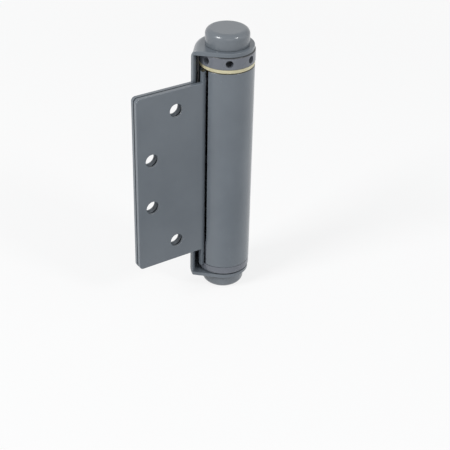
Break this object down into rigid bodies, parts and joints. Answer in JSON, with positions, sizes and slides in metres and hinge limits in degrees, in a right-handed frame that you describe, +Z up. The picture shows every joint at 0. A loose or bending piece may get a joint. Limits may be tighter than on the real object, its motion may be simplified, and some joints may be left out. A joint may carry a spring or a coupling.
{
  "type": "spring hinge",
  "caption": "Single-acting full-mortise spring hinge: two sheet leaves, a rolled spring barrel between ears, round caps and a ring collar that sets the spring.",
  "frame": {"origin": "on the pin axis, at the hinge's mid-height", "axes": "+Z up the pin axis towards the adjusting collar, -X towards the leaves' free edges, -Y out of the door leaf's face, +Y out of the frame leaf's face"},
  "size_m": [0.0691, 0.0341, 0.151],
  "materials": {
    "leaf_enamel": "semi-gloss grey enamel",
    "cap_enamel": "semi-gloss grey enamel on a turned cap",
    "collar_enamel": "semi-gloss grey enamel on a turned ring",
    "nylon": "natural cream nylon",
    "bright_steel": "turned, lightly oiled",
    "spring_steel": "dark oil-tempered wire",
    "zinc_pin": "bright zinc plate"
  },
  "bodies": {
    "frame": {"frame_leaf": "leaf_enamel", "spindle": "bright_steel", "upper_retaining_ring": "spring_steel", "lower_retaining_ring": "spring_steel", "upper_cap": "cap_enamel", "lower_cap": "cap_enamel"},
    "door": {"door_leaf": "leaf_enamel", "barrel_plug": "collar_enamel", "upper_bush": "nylon", "lower_bush": "nylon", "torsion_spring": "spring_steel"},
    "collar": {"adjusting_collar": "collar_enamel", "upper_spring_anchor": "bright_steel", "tension_pin": "zinc_pin"}
  },
  "joints": [
    {"name": "door_swing", "type": "hinge", "parent": "frame", "child": "door", "pos_m": [0, 0, 0], "axis": [0, 0, 1], "range_deg": [0, 180], "stiffness_Nm_per_rad": 0.66, "springref_deg": -89.95, "deforming": ["torsion_spring"]},
    {"name": "collar_turn", "type": "hinge", "parent": "frame", "child": "collar", "pos_m": [0, 0, 0], "axis": [0, 0, 1], "range_deg": [-180, 0], "stiffness_Nm_per_rad": 0.2, "springref_deg": 89.95, "deforming": ["torsion_spring"]}
  ]
}
